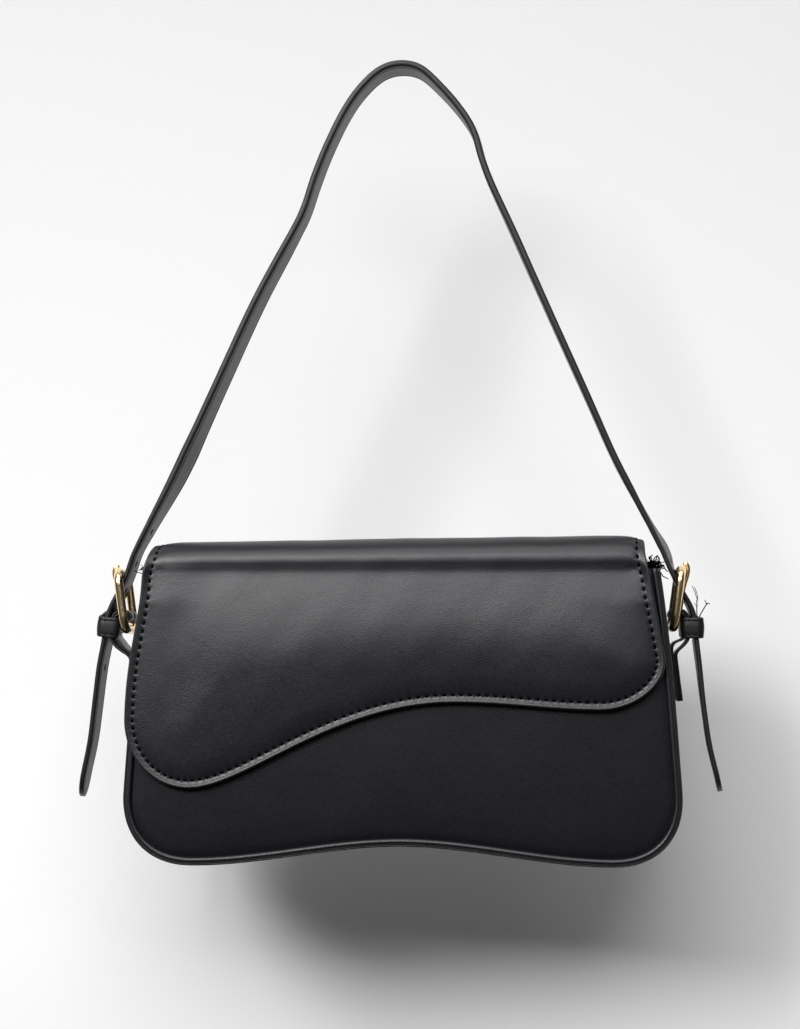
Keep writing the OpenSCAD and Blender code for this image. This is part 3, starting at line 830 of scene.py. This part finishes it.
# The strap
right_points = [
    (10, -0.6), (20, -9.6), (29.5, -20.8), (36, -31.6), (39.9, -45), (44.4, -57), (54.9, -80.5),
    (72.7, -121.3), (90.4, -161.5), (102.1, -188.4), (112.3, -208.5), (119.6, -222), (126, -233.5),
    (129.2, -243.2), (132.7, -251.5), (137.3, -260), (139.6, -267.5), (140.3, -277), (141.8, -290),
    (143.3, -304.5), (146, -324.6), (149.4, -339.5), (151.1, -347.5),
]
left_points = [
    (9.5, -1.2), (18.8, -9.7), (26.9, -21.5), (35.2, -38.6), (41, -53.5), (46, -68.6), (52, -81),
    (69, -113.1), (87.5, -153.5), (105.8, -193.9), (120.2, -220.8), (127, -233.8),
    (130.5, -243.9), (133.8, -251.8), (138, -260), (140.4, -267.5), (141.6, -277), (143.8, -289),
    (145.7, -304.7), (148, -324), (151.2, -340), (152.9, -350.8),
]
strap_line = [(-x, z) for x, z in left_points[::-1]] + [(0, STRAP_T / 2)] + right_points
strap_flat = resample(smooth(strap_line, 10), 1.5)
S = lengths(strap_flat)
strap_path = in_space(strap_flat)
strap_dir = in_space(headings(strap_flat))
UP3 = in_space(left_of(headings(strap_flat)))
Y3 = np.tile(xyz(0, 1, 0), (len(S), 1))

# Turn of the strap about its own line: height and degrees, on the left side and on the right one
TURNS_LEFT = [
    (-348, 1.8), (-325, 0.8), (-300, 0), (-262, -1), (-243, -0.5), (-231, 0), (-222, -1.7), (-210, -4.8),
    (-198, -8), (-187, -9.6), (-174, -7), (-158, -5.8), (-125, -5), (-90, -3.2), (-77, -1.2), (-53, -2),
    (0, 0),
]
TURNS_RIGHT = [
    (-348, 2.4), (-306, 2.4), (-285, 0.6), (-262, 0), (-250, 1.5), (-243, 6), (-237, 10.5), (-231, 11.5),
    (-222, 6.5), (-205, 3), (-150, 2), (-110, 2), (-85, 1.6), (-60, 2.8), (-31, 2.4), (0, 0),
]


def strap_turn(x, z):
    return math.radians(np.interp(z, *zip(*(TURNS_LEFT if x < 0 else TURNS_RIGHT))))


turn = np.array([[strap_turn(x, z)] for x, z in strap_flat])
strap_side = Y3 * np.cos(turn) + UP3 * np.sin(turn)
strap_nrm = UP3 * np.cos(turn) - Y3 * np.sin(turn)


def strap_half(i):
    """Half the strap's thickness, pared down towards both ends."""
    k = min(max((strap_flat[i][1] + 232) / 32, 0), 1)
    return (BILLET_T + (STRAP_T - BILLET_T) * k) / 2


def strap_profile(i):
    h = strap_half(i)
    end = min(S[i], S[-1] - S[i], STRAP_HALF)
    w = math.sqrt(max(STRAP_HALF ** 2 - (STRAP_HALF - end) ** 2, 1.2))
    crown = 1 + 0.10 * min(max((strap_flat[i][1] + 235) / 35, 0), 1)
    half = [(-1.0, 0.0), (-0.995, 0.5), (-0.965, 0.84), (-0.90, 0.99), (-0.80, 0.99), (-0.755, 0.78),
            (-0.71, 0.97), (-0.5, 1.0), (-0.2, crown)]
    half += [(-a, b) for a, b in half[::-1]]
    low = [(w * a, -h * (b if abs(a) > 0.7 else 0.99)) for a, b in half[::-1][1:-1]]
    return [(w * a, h * b) for a, b in half] + low


v, f = sweep(strap_path, strap_side, strap_nrm, strap_profile)
strap = tidy_mesh(make("strap_leather_band", v, f, [STRAP_LEATHER]))


def at_length(s):
    """Place, heading, side, face and half thickness of the strap at a length along it."""
    i = int(np.clip(np.searchsorted(S, s), 1, len(S) - 1))
    t = (s - S[i - 1]) / (S[i] - S[i - 1])
    mixed = [a[i - 1] * (1 - t) + a[i] * t for a in (strap_path, strap_dir, strap_side, strap_nrm)]
    return (*mixed, strap_half(i))


def hole_cutter(s, stretch):
    p, d, side, nrm, h = at_length(s)
    pts = []
    for k in range(24):
        a = 2 * math.pi * k / 24
        e = stretch if math.cos(a) > 0 else -stretch
        pts.append((HOLE_R * math.sin(a), HOLE_R * math.cos(a) + e))
    verts = [p + side * u + d * w + nrm * end for end in (-5, 5) for u, w in pts]
    return tidy_mesh(make("cutter", verts, capped_faces(2, 24), [STRAP_LEATHER]))


# Five holes on each side, the middle one drawn out where the prong passes through
cutters = []
for cross in ((-135.4, -254.9), (134.5, -255.2)):
    s = S[np.argmin(np.linalg.norm(strap_flat - np.array(cross), axis=1))]
    cutters += [hole_cutter(s + k * HOLE_PITCH, 0 if k else HOLE_STRETCH) for k in range(-2, 3)]
cut(strap, cutters)
shade(strap)
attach(strap, "strap")
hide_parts("shoulder_strap")

STRAP_SEAM = 7.55
places = []
for side in (-1, 1):
    for face in (1, -1):
        for s in np.arange(8, S[-1] - 8, 4.0):
            p, d, w, n, h = at_length(s)
            places.append((p + w * side * STRAP_SEAM + n * face * h * 0.80, d, n * face))
stitches("strap_stitches", places, "strap", length=2.6, r=0.2, lift=0.06)


# Leather loops that hold the buckles, led through the keepers and sewn to the sides of the bag
def bar_place(side):
    x, z = BUCKLE_TOP[side]
    return np.array([x - BAR_DOWN * math.sin(LEAN), z - BAR_DOWN * math.cos(LEAN)])


LOOP_POINTS = {
    1: [(132.3, -262.8), (134.4, -263.4), (135.7, -265.6), (136.1, -268.6), (136.2, -272.4), (135.9, -275.2),
        (134.7, -277.4), (132.9, -279.2), (131, -281), (130, -283), (130.1, -286), (130.7, -291),
        (131.4, -297), (132.4, -305)],
    -1: [(133.7, -263.3), (135.8, -263.7), (137.1, -265.9), (137.4, -268.8), (137.4, -271.5),
         (137.4, -274.5), (136.9, -276.4), (135.4, -278.7), (132.9, -280.7), (130.1, -282.5),
         (128.4, -284.3), (128, -287), (127.9, -291), (127.7, -297), (127.6, -305)],
}
INNER_WAY = [(133.1, -276.1), (130.7, -277.1), (129, -278.7), (128.6, -281.5)]
LAYER = 1.2
FOLD_R = 2.45
LOOP_SEAM = 7.6
SLOT_HALF = 1.9


def loop(side):
    name = SIDE_NAME[side]
    bar = bar_place(side)
    mid = resample(smooth([bar] + LOOP_POINTS[side], 6), 0.8)
    nrm = left_of(headings(mid))
    keep = np.linalg.norm(mid - bar, axis=1) > 3.0
    outer = (mid + nrm * LAYER / 2)[keep]
    apart = (0 if side > 0 else 1.3) * np.exp(-((mid[:, 1] + 278) / 3.4) ** 2) * (mid[:, 1] > -286)
    inner = (mid - nrm * (LAYER / 2 + apart)[:, None])[keep]
    if side > 0:
        above = inner[inner[:, 1] > -274.4]
        below = inner[inner[:, 1] < -284.5]
        inner = np.vstack([above, smooth([above[-1]] + INNER_WAY + [below[0]], 5)[1:-1], below])
    a0 = math.atan2(outer[0][1] - bar[1], outer[0][0] - bar[0])
    a1 = math.atan2(inner[0][1] - bar[1], inner[0][0] - bar[0])
    if a1 > a0:
        a1 -= 2 * math.pi
    turn = [a0 + (a1 + 2 * math.pi - a0) * k / 24 for k in range(1, 24)]
    fold = [(bar[0] + FOLD_R * math.cos(a), bar[1] + FOLD_R * math.sin(a)) for a in turn]
    line = resample(np.vstack([outer[::-1], fold, inner]), 0.9)
    path = in_space(line * (side, 1))
    up = in_space(left_of(headings(line)) * (side, 1))
    ys = [SLOT_HALF, 4, 7.2, LOOP_SEAM, 8, 9.5, 9.85, 10]
    hs = [1, 1, 1, 0.8, 1, 0.98, 0.75, 0.35]
    ys = [-y for y in ys[::-1]] + ys
    hs = hs[::-1] + hs

    def layer(way):
        return np.array([path[i] + xyz(0, y, 0) + way * up[i] * h * LAYER * 0.49
                         for i in range(len(line)) for y, h in zip(ys, hs)])

    # the fold has a slot for the prong
    rel = line - bar
    out_by = rel[:, 0] * math.cos(LEAN) - rel[:, 1] * math.sin(LEAN)
    up_by = rel[:, 0] * math.sin(LEAN) + rel[:, 1] * math.cos(LEAN)
    slot = (out_by > -4.2) & (up_by > -2.6)
    m = len(ys)
    sheet = []
    for i in range(len(line) - 1):
        for j in range(m - 1):
            if ys[j] == -SLOT_HALF and slot[i] and slot[i + 1]:
                continue
            a = i * m + j
            sheet.append((a, a + m, a + m + 1, a + 1))
    obj = thick("loop_strip_" + name, layer(1), layer(-1), sheet, [STRAP_LEATHER], None)
    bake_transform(obj)
    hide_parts("loop_" + name, "tab_" + name)
    run = lengths(line)
    places = []
    for e in (-1, 1):
        for s in np.arange(3, run[-1] * 0.36, 3.4):
            i = int(np.searchsorted(run, s))
            p = path[i] + xyz(0, e * LOOP_SEAM, 0) - up[i] * LAYER * 0.35
            places.append((p, path[i + 1] - path[i], -up[i]))
    thread = stitches("loop_stitches_" + name, places, None, length=2.3, r=0.2, lift=0.06)
    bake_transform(thread)

    # pad under the sewn end, against the gusset
    rim = u_inset(0.6)
    rim = rim[rim[:, 0] * side > 60][::side]
    zs = np.linspace(-284 if side > 0 else -279.5, -305, 14)
    rim_x = np.interp(-zs, -rim[:, 1], np.abs(rim[:, 0]))
    face_x = np.interp(-zs, -mid[:, 1], mid[:, 0]) - LAYER + 0.05
    verts = []
    for i, z in enumerate(zs):
        tip = i in (0, len(zs) - 1)
        w = 9.3 if tip else 9.7
        x0 = side * (rim_x[i] - 0.3)
        x1 = side * (rim_x[i] + 0.15 if tip else max(face_x[i], rim_x[i] + 0.25))
        verts += [(x0, -w, z), (x1, -w, z), (x1, w, z), (x0, w, z)]
    pad = make("tab_pad_" + name, verts, capped_faces(len(zs), 4), [STRAP_LEATHER], "bag")
    shade(tidy_mesh(pad), False)


loop(1)
loop(-1)


# Keepers: sewn bands of leather
KEEPER_SEAM = 0.68


def keeper(side, x0, z0, tilt, pitch):
    name = SIDE_NAME[side]
    half_x = 4.6
    half_y = 10.9
    half_z = 4.9
    r = 2.2
    corners = []
    for sx, sy, a in ((1, 1, 0), (-1, 1, 90), (-1, -1, 180), (1, -1, 270)):
        corners += arc(sx * (half_x - r), sy * (half_y - r), r, r, a, a + 90, 7)
    ring = resample(np.array(corners + [corners[0]]), 1.0)[:-1]
    n = len(ring)
    d = np.roll(ring, -1, axis=0) - np.roll(ring, 1, axis=0)
    d /= np.linalg.norm(d, axis=1)[:, None]
    out = -left_of(d)
    section = [(-1, 0), (-0.98, 0.6), (-0.92, 0.95), (-0.78, 1.0), (-0.68, 0.8), (-0.58, 1.0), (-0.2, 1.12),
               (0.2, 1.12), (0.58, 1.0), (0.68, 0.8), (0.78, 1.0), (0.92, 0.95), (0.98, 0.6), (1, 0),
               (0.98, -0.7), (0.9, -0.95), (0, -0.95), (-0.9, -0.95), (-0.98, -0.7)]
    verts = []
    for i in range(n):
        for a, b in section:
            q = ring[i] + out[i] * 0.6 * b
            z = half_z * a + (q[1] + 8) * pitch
            x = q[0] * (1 + 0.05 * (1 - a * a)) + 0.12 * math.sin(0.5 * i + a)
            verts.append((side * (x0 + x * math.cos(tilt) + z * math.sin(tilt)), q[1],
                          z0 + z * math.cos(tilt) - x * math.sin(tilt)))
    faces = ring_faces(n, len(section), looped=True)
    obj = tidy_mesh(make("keeper_band_" + name, verts, faces, [STRAP_LEATHER], "strap"))
    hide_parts("keeper_" + name)
    run = lengths(np.vstack([ring, ring[0]]))
    places = []
    for a in (-KEEPER_SEAM, KEEPER_SEAM):
        for t in np.arange(0, run[-1], 3.2):
            i = int(np.clip(np.searchsorted(run, t), 0, n - 1))
            q = ring[i] + out[i] * 0.5
            p = xyz(side * (x0 + q[0]), q[1], z0 + half_z * a + (q[1] + 8) * pitch)
            places.append((p, xyz(side * d[i][0], d[i][1], 0), xyz(side * out[i][0], out[i][1], 0)))
    stitches("keeper_stitches_" + name, places, "strap", length=2.1, r=0.2, lift=0.05)


keeper(1, 138.2, -270.6, 0, 0.05)
keeper(-1, 139.3, -269.6, math.radians(-6), 0.18)


# Prongs: an eye round the bar and a tapering arm that hooks over the top bar
def prong(side):
    name = SIDE_NAME[side]
    bar = bar_place(side)
    lean_out = xyz(side * math.cos(LEAN), 0, -math.sin(LEAN))
    lean_up = xyz(side * math.sin(LEAN), 0, math.cos(LEAN))
    base = xyz(side * bar[0], 0, bar[1])
    line = smooth([(2.5, 0), (2.65, 4), (2.7, 8), (2.9, 12), (3.3, 15.5), (3.75, 19), (3.8, 21.5), (3, 23.8),
                   (1.2, 25)], 5)
    k = np.linspace(0, 1, len(line))
    deep = (1.8 + 0.7 * np.clip((k - 0.45) / 0.55, 0, 1)) / 2
    deep[-3:] *= (0.95, 0.8, 0.55)
    wide = np.full(len(line), 1.4)
    wide[-3:] *= (0.95, 0.85, 0.6)
    n = left_of(headings(line))
    m = 16
    arm = []
    for i in range(len(line)):
        for j in range(m):
            a = 2 * math.pi * j / m
            q = line[i] + n[i] * deep[i] * math.copysign(abs(math.cos(a)) ** 0.75, math.cos(a))
            y = wide[i] * math.copysign(abs(math.sin(a)) ** 0.75, math.sin(a))
            arm.append(base + lean_out * q[0] + lean_up * q[1] + xyz(0, y, 0))
    ring = [(-1.4, 2.0), (-1.4, 2.55), (-1.1, 2.82), (1.1, 2.82), (1.4, 2.55), (1.4, 2.0), (1.1, 1.86),
            (-1.1, 1.86)]
    steps = 36
    eye_points = []
    for i in range(steps):
        a = 2 * math.pi * i / steps
        c = lean_out * math.cos(a) + lean_up * math.sin(a)
        eye_points += [base + c * r + xyz(0, w, 0) for w, r in ring]
    v, f = join([(np.array(arm), capped_faces(len(line), m)),
                 (np.array(eye_points), ring_faces(steps, len(ring), looped=True))])
    obj = tidy_mesh(make("prong_" + name + "_metal", v, f, [GOLD], name + "_prong"))
    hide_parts("prong_" + name)


prong(1)
prong(-1)

# Zip: tapes, teeth and the fixed ends, whose tapes end in loose threads
ZIP_Z = -243.9
ZIP_HALF = 97.0
TOOTH_STEP = 3.0


def tape(name, x0, x1, side, body):
    xs = np.arange(x0, x1 + 0.01, (x1 - x0) / max(4, round((x1 - x0) / 3)))
    section = [(3.1, 0.35), (3.4, 0.62), (3.9, 0.72), (4.4, 0.55), (5, 0.38), (8, 0.36), (12, 0.36),
               (16, 0.36), (20, 0.36), (22.5, 0.38), (23.9, 0.38), (23.9, -0.38), (16, -0.38), (8, -0.38),
               (3.1, -0.38)]
    verts = []
    for x in xs:
        for y, h in section:
            w = 0.14 * math.sin(x * 0.13 + y * 0.3) * min(1, (24 - y) / 8, y / 8)
            verts.append((x, side * y, ZIP_Z + h + w))
    return tidy_mesh(make(name, verts, capped_faces(len(xs), len(section)), [TAPE], body))


def teeth(name, x0, x1, side, body):
    shape = [(-0.78, 3.35), (0.78, 3.35), (0.86, 2.2), (0.72, 0.95), (0.45, 0.62), (-0.45, 0.62),
             (-0.72, 0.95), (-0.86, 2.2)]
    levels = [(0.92, -0.95), (1, -0.6), (1, 0.6), (0.92, 0.95)]
    count = int((x1 - x0) / TOOTH_STEP)
    start = (x0 + x1 - count * TOOTH_STEP) / 2
    parts = []
    for i in range(count):
        x = start + TOOTH_STEP * (i + 0.5)
        tooth = [(x + a * w, side * b, ZIP_Z + h) for w, h in levels for a, b in shape]
        parts.append((np.array(tooth), capped_faces(len(levels), len(shape))))
    v, f = join(parts)
    return shade(tidy_mesh(make(name, v, f, [BRASS], body)), False)


for build, word in ((tape, "tape_"), (teeth, "teeth_")):
    for side, half in ((-1, "front"), (1, "back")):
        obj = build(word + half, -ZIP_HALF, ZIP_HALF, side, half + "_zip")
        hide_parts("zip_" + word + half)
for name, x0, x1 in (("left", -113.6, -97.4), ("right", 97.4, 117.0)):
    end = tape("tape_end_front_" + name, x0, x1, -1, "bag")
    tape("tape_end_back_" + name, x0, x1, 1, "bag")
    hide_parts("zip_end_" + name)
    teeth("teeth_end_front_" + name, x0 + 1.8, x1 - 1.8, -1, "bag")
    teeth("teeth_end_back_" + name, x0 + 1.8, x1 - 1.8, 1, "bag")


def loose_threads(name, starts, body, curl, jitter):
    """Frayed thread ends, thin curved tubes. A start is a place, a direction, a length and a radius."""
    parts = []
    for p, d, length, r in starts:
        d = np.array(d, float)
        d /= np.linalg.norm(d)
        drift = np.array([random.uniform(-1, 1) for _ in range(3)])
        pts = []
        q = np.array(p, float)
        for i in range(9):
            pts.append(q.copy())
            d = d + drift * curl + np.array([random.uniform(-1, 1) for _ in range(3)]) * jitter
            d /= np.linalg.norm(d)
            q = q + d * length / 8
        parts.append(tube(smooth(pts, 2), r, 5))
    v, f = join(parts)
    make(name, v, f, [THREAD_AND_HOLE_SHADE], body)


def drawn(value):
    """A number as it is, or one drawn between the two of a pair."""
    return random.uniform(*value) if isinstance(value, tuple) else value


def tuft(count, place, way, length, radius):
    starts = []
    for _ in range(count):
        p = [drawn(c) for c in place]
        d = [drawn(c) for c in way]
        starts.append((p, d, drawn(length), drawn(radius)))
    return starts


frayed = tuft(80, [(117, 120.5), (-26, -17), (-246, -243)], [(-0.35, 0.45), (-0.25, 0.35), 1.0],
              (5, 9.5), (0.18, 0.3))
frayed += tuft(24, [(117.0, 120.0), (-16, 20), -243.6], [(0.1, 0.8), (-0.5, 0.5), 0.9], (3, 6), (0.12, 0.2))
loose_threads("tape_threads_right", frayed, "bag", curl=0.22, jitter=0.62)
frayed = tuft(46, [(-119, -116), (-25.5, -18), -243.4], [(-0.9, 0.0), (-0.6, 0.2), (0, 0.8)],
              (2.5, 5.5), (0.14, 0.22))
loose_threads("tape_threads_left", frayed, "bag", curl=0.3, jitter=0.7)
long_end = [((-118, -25.5, -245.4), (-1, -0.1, -0.05), 6.5, 0.24)]
loose_threads("tape_thread_long", long_end, "bag", curl=0.1, jitter=0.2)
ends = [
    ((140.3, -10.8, -266.2), (0.03, -0.1, 1), 8.5, 0.26),
    ((140.6, -10.9, -258), (-0.22, -0.05, 1), 7.6, 0.18),
    ((140.6, -10.9, -258), (0.15, -0.05, 1), 6.6, 0.18),
    ((140.5, -10.9, -261.5), (-0.5, -0.1, 1), 3, 0.15),
    ((141.4, -10.8, -265.4), (0.5, -0.1, 1), 7.2, 0.28),
    ((144.5, -10.9, -259.2), (-0.4, -0.05, 1), 1.8, 0.2),
    ((144.5, -10.9, -259.2), (1, 0, 0.15), 1.8, 0.24),
]
loose_threads("keeper_threads", ends, "strap", curl=0.04, jitter=0.1)

# Carried-over metal
for name in ("buckle_left", "buckle_right", "zip_slider", "zip_pull", "snap_stud", "snap_socket"):
    obj = nodes[name]
    obj.data.materials.clear()
    obj.data.materials.append(SNAP if "snap" in name else GOLD)


# Backdrop, which only the front side shows
def backdrop_material(name, base, lift):
    """Matt paint with painted light, lighter towards the bottom. It can't be seen from behind and casts no
    shadow.
    """
    mat, g = new_material(name)
    height = g.add("SeparateXYZ", {"Vector": g.coord}).outputs["Z"]
    # painted light: the colour grows lighter towards the bottom, making up for the lamps' falloff
    level = g.add("MapRange", {"Value": height, "From Min": 0.10, "From Max": -0.45}).outputs["Result"]
    tone = g.calc("MULTIPLY_ADD", g.noise(2.2, 4, 0.6), 0.04, level)
    ray = g.add("LightPath", {}).outputs
    paint = g.add("BsdfPrincipled", {
        "Base Color": g.ramp(tone, 0.0, 1.0, base, [min(c * 1.62, 0.92) for c in base]),
        "Roughness": 0.9,
        "Specular IOR Level": 0.1,
        "Normal": g.bump(g.noise(60, 4, 0.6), 0.05, 0.002),
        # a faint painted glow that only the camera sees
        "Emission Color": (1, 1, 1, 1),
        "Emission Strength": g.calc("MULTIPLY", ray["Is Camera Ray"], lift),
    })
    behind = g.add("NewGeometry", {}).outputs["Backfacing"]
    clear = g.add("BsdfTransparent", {})
    mix = g.add("MixShader", {
        "Fac": g.calc("MAXIMUM", behind, ray["Is Shadow Ray"]),
        1: paint.outputs["BSDF"],
        2: clear.outputs["BSDF"],
    })
    g.add("OutputMaterial", {"Surface": mix.outputs["Shader"]})
    return mat


# painted light: lighter towards the bottom, and a faint glow of 0.01 for the camera
WALL = backdrop_material("wall_paint_and_painted_light", (0.55, 0.544, 0.541), 0.01)
WALL_Y = 118
corners = [(-1800, WALL_Y, -1500), (1800, WALL_Y, -1500), (1800, WALL_Y, 1300), (-1800, WALL_Y, 1300)]
wall = shade(make("backdrop", corners, [(0, 1, 2, 3)], [WALL]), False)


# Soft studio light from above and from the left
def lamp(name, place, aim, size, size_y, power, colour=(1, 1, 1)):
    data = bpy.data.lights.new(name, "AREA")
    data.shape = "RECTANGLE"
    data.size = size
    data.size_y = size_y
    data.energy = power
    data.color = colour
    obj = bpy.data.objects.new(name, data)
    bpy.context.scene.collection.objects.link(obj)
    obj.location = place
    obj.rotation_euler = (Vector(aim) - Vector(place)).to_track_quat("-Z", "Y").to_euler()


lamp("key", (-1.9, -3.2, 1.65), (0, 0, -0.25), 1.3, 1.3, 95)
lamp("softbox", (-0.25, -1.68, 0.64), (0, 0, -0.28), 1.9, 0.75, 29, (0.98, 0.985, 1.0))
lamp("overhead", (0.0, -0.75, 1.15), (0, 0, -0.25), 1.9, 0.9, 17)
lamp("rear_fill", (0.2, 1.8, 0.9), (0, 0, -0.25), 1.6, 1.2, 12)
world = bpy.data.worlds.new("world")
bpy.context.scene.world = world
g = Graph(world)
soft = g.add("Background", {"Color": (1, 0.96, 0.94, 1), "Strength": 0.06})
white = g.add("Background", {"Color": (0.93, 0.93, 0.94, 1), "Strength": 1.0})
mix = g.add("MixShader", {
    "Fac": g.add("LightPath", {}).outputs["Is Camera Ray"],
    1: soft.outputs["Background"],
    2: white.outputs["Background"],
})
g.add("OutputWorld", {"Surface": mix.outputs["Shader"]})

bpy.context.scene.view_settings.view_transform = "Standard"
